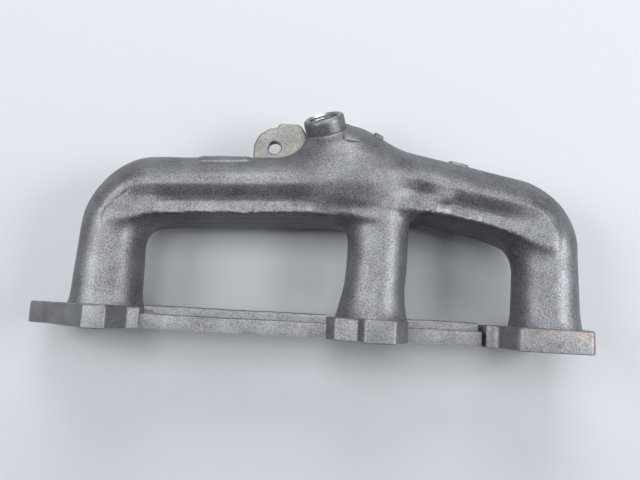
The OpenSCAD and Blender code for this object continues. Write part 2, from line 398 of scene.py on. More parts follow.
@dataclass
class CastShape:
    """The whole casting's skin and gas passage as fields.

    Attributes:
        layout: sizes.
    """

    layout: Layout

    def _hub(self, p: np.ndarray) -> np.ndarray:
        """Field of the collector drum and its neck."""
        lay = self.layout
        w = smoothstep(-20, 10, p[:, 2])
        cx = lay.hub[0] + (lay.hub_front[0] - lay.hub[0]) * w
        cy = lay.hub[1] + (lay.hub_front[1] - lay.hub[1]) * w
        r = lay.hub_r + (lay.hub_front_r - lay.hub_r) * w
        dr = np.hypot(p[:, 0] - cx, p[:, 1] - cy) - (r - lay.hub_round)
        dz = p[:, 2] - (lay.hub_top - lay.hub_round)
        outside = np.hypot(np.maximum(dr, 0), np.maximum(dz, 0))
        return np.minimum(np.maximum(dr, dz), 0) + outside - lay.hub_round

    def _middle(self, p: np.ndarray) -> np.ndarray:
        """Field of the middle runner, which leans slightly as it rises."""
        lay = self.layout
        y = p[:, 1]
        cx = 2.0 * smoothstep(12, 45, y)
        r = lay.middle_r + 1.7 * (1 - smoothstep(12, 32, y)) + 1.6 * np.exp(-np.maximum(y - 11.5, 0) / 3.5)
        past = np.maximum(y - 84, 0)
        return np.sqrt((p[:, 0] - cx) ** 2 + (p[:, 2] + 0.5) ** 2 + past**2) - r

    def _boss(self, p: np.ndarray, radius: float) -> np.ndarray:
        """Field of an endless bar along the sensor boss, from below its seat."""
        lay = self.layout
        axis = np.array(lay.boss_axis) / np.linalg.norm(lay.boss_axis)
        d = p - np.array(lay.boss_at)
        t = d @ axis
        below = np.maximum(-12 - t, 0)
        return np.sqrt(np.sum((d - np.outer(t, axis)) ** 2, axis=1) + below**2) - radius

    def skin(self, p: np.ndarray) -> np.ndarray:
        """Outside of the casting.

        Args:
            p: points, N x 3, mm.

        Returns:
            Field values, negative inside.
        """
        lay = self.layout
        f = smooth_min(lay.far.skin(p), self._middle(p), 13)
        f = smooth_min(f, lay.near.skin(p), 11)
        f = smooth_min(f, self._hub(p), 13)
        f = smooth_min(f, self._boss(p, lay.boss_r), 5)
        for lump in lay.lumps:
            d2 = np.sum((p - np.array(lump.at)) ** 2, axis=1)
            f = f - lump.height * np.exp(-d2 / lump.size**2)
        return f

    def gas(self, p: np.ndarray) -> np.ndarray:
        """Gas passage, outlet and sensor hole.

        Args:
            p: points, N x 3, mm.

        Returns:
            Field values, negative inside the passage.
        """
        lay = self.layout
        f = np.minimum(lay.far.gas(p, lay.gas_r, lay.log_depth), lay.near.gas(p, lay.gas_r, lay.log_depth))
        past = np.maximum(p[:, 1] - 84, 0)
        middle = np.sqrt((p[:, 0] - 1.0) ** 2 + p[:, 2] ** 2 + past**2) - (lay.gas_r - 1.0)
        f = smooth_min(f, middle, 4)
        mid = (np.array(lay.hub) + np.array(lay.hub_front)) / 2
        dr = np.hypot(p[:, 0] - mid[0], p[:, 1] - mid[1]) - (lay.chamber_r - lay.chamber_round)
        dz = p[:, 2] + 0.5
        drum = np.minimum(np.maximum(dr, dz), 0) + np.hypot(np.maximum(dr, 0), np.maximum(dz, 0))
        drum -= lay.chamber_round
        f = smooth_min(f, drum, 4)
        outlet = np.maximum(
            np.hypot(p[:, 0] - lay.hub[0], p[:, 1] - lay.hub[1]) - lay.outlet_r, p[:, 2] + 12
        )
        f = smooth_min(f, outlet, 3)
        return smooth_min(f, self._boss(p, lay.sensor_r), 2)


def gradient(of: Callable[[np.ndarray], np.ndarray], p: np.ndarray, step: float = 0.06) -> np.ndarray:
    """Numerical gradient of a field.

    Args:
        of: the field.
        p: points, N x 3, mm.
        step: half the difference step, mm.

    Returns:
        Gradients, N x 3.
    """
    out = np.empty_like(p)
    for axis in range(3):
        d = np.zeros(3)
        d[axis] = step
        out[:, axis] = (of(p + d) - of(p - d)) / (2 * step)
    return out


def project(
    of: Callable[[np.ndarray], np.ndarray], p: np.ndarray, level: float | np.ndarray = 0.0, rounds: int = 6
) -> np.ndarray:
    """Move points onto a level of a field.

    Args:
        of: the field.
        p: points, N x 3, mm.
        level: the level to reach, mm.
        rounds: Newton steps.

    Returns:
        The moved points.
    """
    p = p.copy()
    for _ in range(rounds):
        g = gradient(of, p)
        g2 = np.maximum(np.sum(g * g, axis=1), 0.05)
        step = np.clip((of(p) - level) / g2, -3, 3)
        p -= g * step[:, None]
    return p


# --------------------------------------------------------------------------- materials


def add_node(tree: bpy.types.NodeTree, kind: str, settings: dict | None = None, **links: object) -> bpy.types.Node:
    """Add a shader node with its settings and links.

    Args:
        tree: the node tree.
        kind: node type, such as "ShaderNodeTexNoise".
        settings: attributes to set on the node.
        links: input by name (underscores for spaces) or "i" and its index; an output socket or a value.

    Returns:
        The node.
    """
    node = tree.nodes.new(kind)
    for key, value in (settings or {}).items():
        setattr(node, key, value)
    for key, value in links.items():
        name = int(key[1:]) if key[0] == "i" and key[1:].isdigit() else key.replace("_", " ")
        socket = node.inputs[name]
        if isinstance(value, bpy.types.NodeSocket):
            tree.links.new(value, socket)
        else:
            socket.default_value = value
    return node


@dataclass(frozen=True)
class Rust:
    """Where rust tints an iron surface.

    Attributes:
        colour: sRGB hex colour.
        centre: middle of the stain in the part's frame, mm.
        size: half sizes of the stain, mm.
        amount: how strong it is, 0 to 1.
    """

    colour: str
    centre: tuple[float, float, float]
    size: tuple[float, float, float]
    amount: float


@dataclass(frozen=True)
class Iron:
    """Iron surface, as cast or machined.

    Attributes:
        name: material name.
        dark: colour of the hollows between grains.
        light: colour of the grain tops.
        metallic: how metallic the skin is.
        rough: roughness of the skin.
        grain_mm: size of the sand grain.
        grain_height_mm: height of the sand grain.
        painted_glints: strength of the bright specks, painted highlights (glints) mixed into the colour and added to
            the bump.
        rust: stains on this surface.
    """

    name: str
    dark: str
    light: str
    metallic: float
    rough: float
    grain_mm: float
    grain_height_mm: float
    painted_glints: float
    rust: tuple[Rust, ...] = ()

    def build(self) -> bpy.types.Material:
        """Make the material.

        Returns:
            The material.
        """
        mat = bpy.data.materials.new(self.name)
        mat.use_nodes = True
        tree = mat.node_tree
        tree.nodes.clear()
        place = add_node(tree, "ShaderNodeTexCoord").outputs["Object"]
        grain = add_node(
            tree, "ShaderNodeTexNoise", Vector=place, Scale=1 / (self.grain_mm * MM), Detail=3.0, Roughness=0.6
        )
        patches = add_node(tree, "ShaderNodeTexNoise", Vector=place, Scale=1 / (14 * MM), Detail=4.0, Roughness=0.6)
        mix = add_node(
            tree,
            "ShaderNodeMath",
            {"operation": "MULTIPLY_ADD"},
            i0=grain.outputs[0],
            i1=0.75,
            i2=add_node(
                tree, "ShaderNodeMath", {"operation": "MULTIPLY"}, i0=patches.outputs[0], i1=0.3
            ).outputs[0],
        )
        ramp = add_node(
            tree,
            "ShaderNodeMapRange",
            {"interpolation_type": "SMOOTHSTEP"},
            Value=mix.outputs[0],
            From_Min=0.36,
            From_Max=0.70,
        )
        colour = add_node(
            tree,
            "ShaderNodeMix",
            {"data_type": "RGBA"},
            i0=ramp.outputs[0],
            i6=linear(self.dark),
            i7=linear(self.light),
        ).outputs[2]
        # Bright specks painted into the colour: painted glints that stand in for small specular highlights on the
        # grain; they also raise the bump.
        specks = add_node(tree, "ShaderNodeTexVoronoi", Vector=place, Scale=1 / (self.grain_mm * 0.9 * MM))
        glint_mask = add_node(
            tree,
            "ShaderNodeMapRange",
            Value=add_node(tree, "ShaderNodeSeparateColor", Color=specks.outputs["Color"]).outputs[0],
            From_Min=0.80,
            From_Max=1.0,
            To_Max=self.painted_glints,
        ).outputs[0]
        colour = add_node(
            tree, "ShaderNodeMix", {"data_type": "RGBA"}, i0=glint_mask, i6=colour, i7=linear("#b9bcc2")
        ).outputs[2]
        rough_in: object = self.rough
        for stain in self.rust:
            mask = self._stain(tree, place, stain)
            colour = add_node(
                tree, "ShaderNodeMix", {"data_type": "RGBA"}, i0=mask, i6=colour, i7=linear(stain.colour)
            ).outputs[2]
        height = add_node(
            tree, "ShaderNodeMath", {"operation": "ADD"}, i0=grain.outputs[0], i1=glint_mask
        ).outputs[0]
        bump = add_node(
            tree, "ShaderNodeBump", Height=height, Strength=0.9, Distance=self.grain_height_mm * MM
        )
        shader = add_node(
            tree,
            "ShaderNodeBsdfPrincipled",
            Base_Color=colour,
            Metallic=self.metallic,
            Roughness=rough_in,
            Normal=bump.outputs[0],
        )
        add_node(tree, "ShaderNodeOutputMaterial", Surface=shader.outputs[0])
        return mat

    def _stain(self, tree: bpy.types.NodeTree, place: bpy.types.NodeSocket, stain: Rust) -> bpy.types.NodeSocket:
        """Mask of one rust stain: a soft ball in the part's frame, broken up by noise."""
        moved = add_node(
            tree,
            "ShaderNodeVectorMath",
            {"operation": "SUBTRACT"},
            i0=place,
            i1=[c * MM for c in stain.centre],
        )
        scaled = add_node(
            tree,
            "ShaderNodeVectorMath",
            {"operation": "DIVIDE"},
            i0=moved.outputs[0],
            i1=[s * MM for s in stain.size],
        )
        far = add_node(tree, "ShaderNodeVectorMath", {"operation": "LENGTH"}, i0=scaled.outputs[0])
        fade = add_node(
            tree, "ShaderNodeMapRange", Value=far.outputs["Value"], From_Min=1.0, From_Max=0.3, To_Max=stain.amount
        )
        broken = add_node(tree, "ShaderNodeTexNoise", Vector=place, Scale=1 / (3.5 * MM), Detail=5.0, Roughness=0.7)
        cut = add_node(tree, "ShaderNodeMapRange", Value=broken.outputs[0], From_Min=0.40, From_Max=0.62)
        return add_node(
            tree, "ShaderNodeMath", {"operation": "MULTIPLY"}, i0=fade.outputs[0], i1=cut.outputs[0]
        ).outputs[0]


# Sand-cast skin of the body: dark, slightly metallic, with sandy grain
CAST_SKIN = Iron("sand-cast grey iron", "#333437", "#66686c", 0.6, 0.43, 0.6, 0.13, 0.07)
# As-cast edges of the flange, a little lighter, rusty at the end by the saw cut
FLANGE_SKIN = Iron(
    "sand-cast flange iron",
    "#363739",
    "#686a6e",
    0.55,
    0.45,
    0.6,
    0.13,
    0.07,
    (
        Rust("#8a6a50", (102, 9, 34), (12, 6, 30), 0.5),
        Rust("#6c5a4a", (80, 10, 34), (16, 3, 20), 0.35),
    ),
)
# Machined faces: head face, outlet face, spot faces, boss mouth and the saw cut's sides
MACHINED = Iron("machined grey iron", "#6d6f72", "#9a9c9f", 0.9, 0.36, 0.35, 0.02, 0.1)
# The lug, cleaner and lighter than the body
LUG_SKIN = Iron(
    "sand-cast lug iron", "#3c3c3b", "#706f6d", 0.5, 0.45, 0.6, 0.12, 0.08,
    (Rust("#6a625a", (-55, 108, 0), (30, 16, 12), 0.2),),
)
# Sooty walls of the gas passages
SOOT = Iron("sooty passage iron", "#17130f", "#2b241d", 0.1, 0.8, 1.2, 0.15, 0.0)


# --------------------------------------------------------------------------- mesh helpers


def rounded(points: Sequence[tuple[float, float, float]], step: float = 0.8) -> Loop:
    """Outline with rounded corners.

    Args:
        points: corners as (a, b, corner radius), mm.
        step: spacing of the points on the arcs, mm.

    Returns:
        The closed outline.
    """
    out: Loop = []
    n = len(points)
    for i, (x, y, r) in enumerate(points):
        p = Vector((x, y))
        a = Vector(points[i - 1][:2]) - p
        b = Vector(points[(i + 1) % n][:2]) - p
        la, lb = a.length, b.length
        a.normalize()
        b.normalize()
        half = math.acos(max(-1.0, min(1.0, a.dot(b)))) / 2
        back = min(r / max(math.tan(half), 1e-6), la * 0.49, lb * 0.49)
        r = back * math.tan(half)
        if r < 0.05:
            out.append((x, y))
            continue
        centre = p + (a + b).normalized() * (r / math.sin(half))
        start, end = p + a * back - centre, p + b * back - centre
        sweep = math.pi - 2 * half
        sign = 1 if start.x * end.y - start.y * end.x > 0 else -1
        count = max(2, int(math.ceil(sweep * r / step)))
        for k in range(count + 1):
            ang = sign * sweep * k / count
            c, s = math.cos(ang), math.sin(ang)
            out.append((centre.x + start.x * c - start.y * s, centre.y + start.x * s + start.y * c))
    return out


def circle(x: float, y: float, r: float, count: int = 48) -> Loop:
    """Round outline.

    Args:
        x: centre.
        y: centre.
        r: radius, mm.
        count: number of points.

    Returns:
        The outline.
    """
    return [
        (x + r * math.cos(2 * math.pi * k / count), y + r * math.sin(2 * math.pi * k / count)) for k in range(count)
    ]


def grown(loop: Loop, by: float) -> Loop:
    """Outline moved outwards by mitring.

    Args:
        loop: closed outline.
        by: distance, mm; negative moves it inwards.

    Returns:
        The moved outline.
    """
    pts = np.array(loop)
    area = np.sum(pts[:, 0] * np.roll(pts[:, 1], -1) - np.roll(pts[:, 0], -1) * pts[:, 1])
    edge = np.roll(pts, -1, 0) - pts
    edge /= np.maximum(np.linalg.norm(edge, axis=1, keepdims=True), 1e-9)
    normal = np.stack([edge[:, 1], -edge[:, 0]], 1) * (1 if area > 0 else -1)
    both = normal + np.roll(normal, 1, 0)
    both /= np.maximum(np.sum(both * both, axis=1, keepdims=True) / 2, 0.4)
    return [tuple(v) for v in pts + both * by]


@dataclass
class Wall:
    """A wall of a plate: an outline repeated at several levels.

    Attributes:
        loop: the outline, mm.
        levels: (outward offset, height) from the lower face to the upper, mm.
    """

    loop: Loop
    levels: list[tuple[float, float]]


@dataclass
class Plate:
    """A plate with bevelled edges and holes, built wall by wall and capped.

    Attributes:
        outline: outer wall.
        holes: walls of the holes.
        place: matrix from (a, b, height) to the part's frame, mm.
        machined_top: whether the upper face is machined.
        machined_bottom: whether the lower face is machined.
    """

    outline: Wall
    holes: list[Wall]
    place: Matrix
    machined_top: bool = False
    machined_bottom: bool = True
    machined_levels: tuple[int, ...] = (0,)
    bore_faces: bool = True

    def build(self, bm: bmesh.types.BMesh) -> None:
        """Add the plate to a mesh.

        Args:
            bm: the mesh.
        """
        rims: tuple[list, list] = ([], [])
        for index, wall in enumerate([self.outline, *self.holes]):
            rings = []
            for offset, height in wall.levels:
                flat = grown(wall.loop, offset) if offset else wall.loop
                rings.append([bm.verts.new(self.place @ Vector((a, b, height))) for a, b in flat])
            for level, (low, high) in enumerate(zip(rings, rings[1:])):
                for k in range(len(low)):
                    n = (k + 1) % len(low)
                    face = bm.faces.new((low[k], low[n], high[n], high[k]))
                    cut = (index == 0 and level in self.machined_levels) or (index > 0 and self.bore_faces)
                    face.material_index = 1 if cut else 0
            for rim, ring in ((rims[0], rings[0]), (rims[1], rings[-1])):
                for k in range(len(ring)):
                    edge = bm.edges.get((ring[k], ring[(k + 1) % len(ring)]))
                    rim.append(edge)
        for rim, machined in ((rims[0], self.machined_bottom), (rims[1], self.machined_top)):
            made = bmesh.ops.triangle_fill(bm, edges=rim, use_beauty=True)
            for face in made["geom"]:
                if isinstance(face, bmesh.types.BMFace):
                    face.material_index = 1 if machined else 0


def bevel_levels(bottom: float, top: float, low: float, high: float, steps: int = 4) -> list[tuple[float, float]]:
    """Levels of a wall with a small lower chamfer and a rounded upper edge.

    Args:
        bottom: lower face, mm.
        top: upper face, mm.
        low: lower chamfer, mm.
        high: upper rounding, mm.
        steps: rings in the rounding.

    Returns:
        (offset, height) pairs from the lower face up.
    """
    levels = [(-low, bottom), (0.0, bottom + low)] if low else [(0.0, bottom)]
    for k in range(steps + 1):
        a = math.pi / 2 * k / steps
        levels.append((-high * (1 - math.cos(a)), top - high * (1 - math.sin(a))))
    return levels


def unevenness(co: Vector, fine: float, coarse: float) -> float:
    """Height of the cast skin's waviness at a point.

    Args:
        co: point, mm.
        fine: height of the fine part, mm.
        coarse: height of the coarse part, mm.

    Returns:
        Height, mm.
    """
    return coarse * noise.noise(co / 17) + fine * noise.noise(co / 4.2 + Vector((7, 3, 1)))


# --------------------------------------------------------------------------- pieces


@dataclass
class Piece:
    """A finished visual piece.

    Attributes:
        name: object name.
        replaces: CAD nodes that it stands for.
        slot: record slot.
        materials: materials by index.
    """

    name: str
    replaces: tuple[str, ...]
    slot: Slot
    materials: tuple[bpy.types.Material, ...]

    def finish(self, bm: bmesh.types.BMesh, smooth_angle: float = 35, normals: str | None = None) -> bpy.types.Object:
        """Turn a mesh in mm into the piece.

        Args:
            bm: the mesh, mm; it is freed.
            smooth_angle: edges sharper than this many degrees stay sharp.
            normals: name of a float vector layer with ready normals, if there is one.

        Returns:
            The object.
        """
        bmesh.ops.scale(bm, vec=(MM, MM, MM), verts=bm.verts)
        bmesh.ops.recalc_face_normals(bm, faces=bm.faces)
        for face in bm.faces:
            face.smooth = True
        for edge in bm.edges:
            if len(edge.link_faces) == 2 and edge.calc_face_angle(0) > math.radians(smooth_angle):
                edge.smooth = False
        mesh = bpy.data.meshes.new(self.name)
        custom = None
        if normals:
            layer = bm.verts.layers.float_vector[normals]
            cap = bm.faces.layers.int["cap"]
            custom = []
            for face in bm.faces:
                flat = face[cap] == 1
                custom += [face.normal.copy() if flat else loop.vert[layer].copy() for loop in face.loops]
        bm.to_mesh(mesh)
        bm.free()
        for material in self.materials:
            mesh.materials.append(material)
        if custom:
            mesh.normals_split_custom_set(custom)
        obj = bpy.data.objects.new(self.name, mesh)
        bpy.context.scene.collection.objects.link(obj)
        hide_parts(*self.replaces)
        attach(obj, "root")
        LOG.info("%s: %d faces", self.name, len(mesh.polygons))
        return obj


@dataclass(frozen=True)
class Cut:
    """A plane that parts two pieces of the body.

    Attributes:
        at: a point on the plane, mm.
        normal: its normal.
        low: lowest corner of the region that it cuts, mm.
        high: highest corner of the region that it cuts, mm.
    """

    at: tuple[float, float, float]
    normal: tuple[float, float, float]
    low: tuple[float, float, float] = (-1e4, -1e4, -1e4)
    high: tuple[float, float, float] = (1e4, 1e4, 1e4)

    def side(self, p: Vector) -> float:
        """Signed distance of a point from the plane."""
        return (p - Vector(self.at)).dot(Vector(self.normal))

    def covers(self, p: Vector) -> bool:
        """Whether a point lies in the region that the plane cuts."""
        return all(self.low[i] <= p[i] <= self.high[i] for i in range(3))


@dataclass
class CastBody:
    """The hollow casting: runners, bends, logs, collector, neck and the boss's foot.

    Attributes:
        layout: sizes.
        skin_mm: mesh spacing outside.
        gas_mm: mesh spacing in the passages.
    """

    layout: Layout
    skin_mm: float = 0.85
    gas_mm: float = 1.7
    shape: CastShape = field(init=False)

    def __post_init__(self) -> None:
        """Set up the fields."""
        self.shape = CastShape(self.layout)

    def _blank(self, shrink: float) -> bmesh.types.BMesh:
        """Overlapping balls that roughly fill the body, inset by shrink."""
        lay = self.layout
        bm = bmesh.new()

        def ball(at: Iterable[float], r: float) -> None:
            bmesh.ops.create_icosphere(bm, subdivisions=3, radius=r, matrix=Matrix.Translation(Vector(at)))

        for branch in (lay.far, lay.near):
            end = branch.log_s + (branch.reach - branch.log_start[0]) / math.cos(branch.slope)
            s = -16.0
            while s < end:
                at = branch.point(s)
                ball(at, 18 - shrink)
                if s > branch.log_s - 4:
                    deep = min(8.0, (s - branch.log_s + 4) * 0.7)
                    ball(at - Vector((0, 0, deep)), 18 - shrink)
                s += 4
        for y in range(-16, 90, 4):
            ball((1, y, 0), 17 - shrink)
        r = 24 - shrink
        for z in range(-44, 0, 4):
            bmesh.ops.create_cone(
                bm,
                cap_ends=True,
                segments=64,
                radius1=lay.hub_r - shrink,
                radius2=lay.hub_r - shrink,
                depth=8,
                matrix=Matrix.Translation((lay.hub[0], lay.hub[1], z)),
            )
        ball((lay.hub_front[0], lay.hub_front[1], -3), r)
        axis = Vector(lay.boss_axis).normalized()
        for t in range(-8, 36, 2):
            ball(Vector(lay.boss_at) + axis * t, (lay.boss_r - 0.3) if shrink < 2 else lay.sensor_r)
        return bm

    def _fit(self, inner: bool) -> tuple[np.ndarray, list[tuple[int, ...]], np.ndarray]:
        """Remesh the blank, put it on the field and return points, faces and normals."""
        spacing = self.gas_mm if inner else self.skin_mm
        of = self.shape.gas if inner else self.shape.skin
        bm = self._blank(4.5 if inner else 0.3)
        mesh = bpy.data.meshes.new("blank")
        bm.to_mesh(mesh)
        bm.free()
        obj = bpy.data.objects.new("blank", mesh)
        bpy.context.scene.collection.objects.link(obj)
        mod = obj.modifiers.new("even", "REMESH")
        mod.mode = "VOXEL"
        mod.voxel_size = spacing
        done = obj.evaluated_get(bpy.context.evaluated_depsgraph_get()).to_mesh()
        p = np.empty(len(done.vertices) * 3)
        done.vertices.foreach_get("co", p)
        faces = [tuple(f.vertices) for f in done.polygons]
        bpy.data.objects.remove(obj)
        p = project(of, p.reshape(-1, 3))
        work = bmesh.new()
        verts = [work.verts.new(c) for c in p]
        for f in faces:
            work.faces.new([verts[i] for i in f])
        for _ in range(3):
            bmesh.ops.smooth_vert(
                work, verts=work.verts, factor=0.5, use_axis_x=True, use_axis_y=True, use_axis_z=True
            )
            p = project(of, np.array([v.co for v in work.verts]), rounds=2)
            for v, c in zip(work.verts, p):
                v.co = c
        work.free()
        g = gradient(of, p, 0.3)
        g /= np.maximum(np.linalg.norm(g, axis=1, keepdims=True), 1e-6)
        fine, coarse = (0.05, 0.15) if inner else (0.10, 0.30)
        bump = np.array([unevenness(Vector(c), fine, coarse) for c in p])
        p = p + g * bump[:, None]
        return p, faces, g

    def _cuts(self) -> dict[str, Cut]:
        """Planes between the pieces."""
        lay = self.layout
        far, near = lay.far, lay.near
        fs, ns = far.point(far.log_s), near.point(near.log_s)
        fn = (math.cos(far.slope), math.sin(far.slope), 0)
        nn = (-math.cos(near.slope), math.sin(near.slope), 0)
        fe = (lay.far_cut_x, fs.y + (lay.far_cut_x - fs.x) * math.tan(far.slope), 0)
        ne = (lay.near_cut_x, ns.y + (ns.x - lay.near_cut_x) * math.tan(near.slope), 0)
        return {
            "far_top": Cut((0, far.bend_y, 0), (0, 1, 0), (-1e4, 40, -1e4), (-110, 70, 1e4)),
            "near_top": Cut((0, near.bend_y, 0), (0, 1, 0), (60, 40, -1e4), (1e4, 70, 1e4)),
            "middle_top": Cut((0, lay.middle_cut, 0), (0, 1, 0), (-24, 45, -1e4), (24, 65, 1e4)),
            "far_log": Cut(tuple(fs), fn, (-130, 50, -1e4), (-110, 120, 1e4)),
            "near_log": Cut(tuple(ns), nn, (62, 50, -1e4), (86, 120, 1e4)),
            "far_stub": Cut(fe, fn, (-62, 50, -1e4), (-38, 120, 1e4)),
            "near_stub": Cut(ne, nn, (16, 62, -1e4), (34, 120, 1e4)),
            "hub": Cut((0, 0, lay.hub_cut), (0, 0, 1), (-52, 50, -40), (26, 125, 0)),
        }

    def _owner(self, c: Vector, cuts: dict[str, Cut]) -> str:
        """Name of the CAD node that a point of the body belongs to."""
        lay = self.layout
        if abs(c.x) < 24 and c.y < lay.middle_cut:
            return "middle_runner"
        if c.x < -60 or (c.x < -38 and cuts["far_stub"].side(c) < 0):
            if c.x < -100 and c.y < lay.far.bend_y:
                return "far_runner"
            return "far_bend" if cuts["far_log"].side(c) < 0 else "far_log"
        if c.x > 34 or (c.x > 16 and cuts["near_stub"].side(c) < 0):
            if c.x > 60 and c.y < lay.near.bend_y:
                return "near_runner"
            return "near_bend" if cuts["near_log"].side(c) < 0 else "near_log"
        return "outlet_neck" if c.z < lay.hub_cut else "collector"

    def build(self) -> bmesh.types.BMesh:
        """Skin and passages, trimmed at the open ends and cut between the pieces.

        Returns:
            One mesh with layers for the normals, the cap flag and the wall kind.
        """
        lay = self.layout
        bm = bmesh.new()
        normal = bm.verts.layers.float_vector.new("normal")
        bm.faces.layers.int.new("cap")
        for inner in (False, True):
            points, faces, normals = self._fit(inner)
            verts = [bm.verts.new(c) for c in points]
            for v, n in zip(verts, normals):
                v[normal] = -Vector(n) if inner else Vector(n)
            for f in faces:
                order = reversed(f) if inner else f
                face = bm.faces.new([verts[i] for i in order])
                face.material_index = 1 if inner else 0
        axis = Vector(lay.boss_axis).normalized()
        boss = Vector(lay.boss_at)

        def by_boss(p: Vector) -> bool:
            t = (p - boss).dot(axis)
            return t > 4 and (p - boss - axis * t).length < lay.boss_r + 4

        ends = (
            (Vector((0, lay.pad_t, 0)), Vector((0, -1, 0)), lambda p: p.y < 20),
            (Vector((0, 0, lay.neck_cut)), Vector((0, 0, -1)), lambda p: p.z < lay.neck_cut + 3),
            (boss + axis * lay.boss_cut, axis, by_boss),
        )
        for at, direction, near in ends:
            self._slice(bm, at, direction, near, True)
        for cut in self._cuts().values():
            self._slice(bm, Vector(cut.at), Vector(cut.normal), cut.covers, False)
        return bm

    @staticmethod
    def _slice(
        bm: bmesh.types.BMesh, at: Vector, normal: Vector, near: Callable[[Vector], bool], clear: bool
    ) -> None:
        """Cut the faces of a region by a plane, and remove what lies beyond it if clear is set."""
        faces = [f for f in bm.faces if near(f.calc_center_median())]
        edges = {e for f in faces for e in f.edges}
        verts = {v for f in faces for v in f.verts}
        bmesh.ops.bisect_plane(
            bm, geom=[*verts, *edges, *faces], dist=1e-4, plane_co=at, plane_no=normal, clear_outer=clear
        )

    def part(self, whole: bmesh.types.BMesh) -> dict[str, bmesh.types.BMesh]:
        """Divide the body into one closed mesh per CAD node.

        Args:
            whole: the mesh from build.

        Returns:
            Meshes by node name.
        """
        cuts = self._cuts()
        normal = whole.verts.layers.float_vector["normal"]
        made: dict[str, tuple[bmesh.types.BMesh, dict]] = {}
        for face in whole.faces:
            owner = self._owner(face.calc_center_median(), cuts)
            if owner not in made:
                bm = bmesh.new()
                bm.verts.layers.float_vector.new("normal")
                bm.faces.layers.int.new("cap")
                made[owner] = (bm, {})
            bm, known = made[owner]
            layer = bm.verts.layers.float_vector["normal"]
            ring = []
            for v in face.verts:
                if v.index not in known:
                    copy = bm.verts.new(v.co)
                    copy[layer] = v[normal]
                    known[v.index] = copy
                ring.append(known[v.index])
            bm.faces.new(ring).material_index = face.material_index
        out = {}
        for name, (bm, _) in made.items():
            self._cap(bm)
            out[name] = bm
        return out

    def _cap(self, bm: bmesh.types.BMesh) -> None:
        """Close every open end with a ring of faces between the skin and the passage."""
        cap = bm.faces.layers.int["cap"]
        open_edges = {e for e in bm.edges if e.is_boundary}
        loops = []
        while open_edges:
            first = open_edges.pop()
            loop, stack = {first}, list(first.verts)
            while stack:
                v = stack.pop()
                for e in v.link_edges:
                    if e in open_edges:
                        open_edges.discard(e)
                        loop.add(e)
                        stack.extend(e.verts)
            loops.append(loop)
        middles = [sum((e.verts[0].co for e in loop), Vector()) / len(loop) for loop in loops]
        kinds = [next(iter(loop)).link_faces[0].material_index for loop in loops]
        used = set()
        for i, kind in enumerate(kinds):
            if kind == 1 or i in used:
                continue
            inside = [j for j, k in enumerate(kinds) if k == 1 and j not in used]
            if not inside:
                continue
            j = min(inside, key=lambda k: (middles[k] - middles[i]).length)
            if (middles[j] - middles[i]).length > 15:
                continue
            used.update((i, j))
            edges = [e for e in loops[i] | loops[j]]
            made = bmesh.ops.triangle_fill(bm, edges=edges, use_beauty=False)
            for face in made["geom"]:
                if isinstance(face, bmesh.types.BMFace):
                    face[cap] = 1
                    face.material_index = 0


@dataclass(frozen=True)
class PadShape:
    """Outline and holes of a port pad.

    Attributes:
        node: CAD node.
        corners: outline in X and Z, with corner radii, mm.
        port: centre of the port.
        bolts: centres of the bolt holes.
        bolt_r: bolt-hole radius, mm.
        port_r: port radius, mm.
    """

    node: str
    corners: tuple[tuple[float, float, float], ...]
    port: float
    bolts: tuple[tuple[float, float], ...]
    bolt_r: float = 4.5
    port_r: float = 14.0


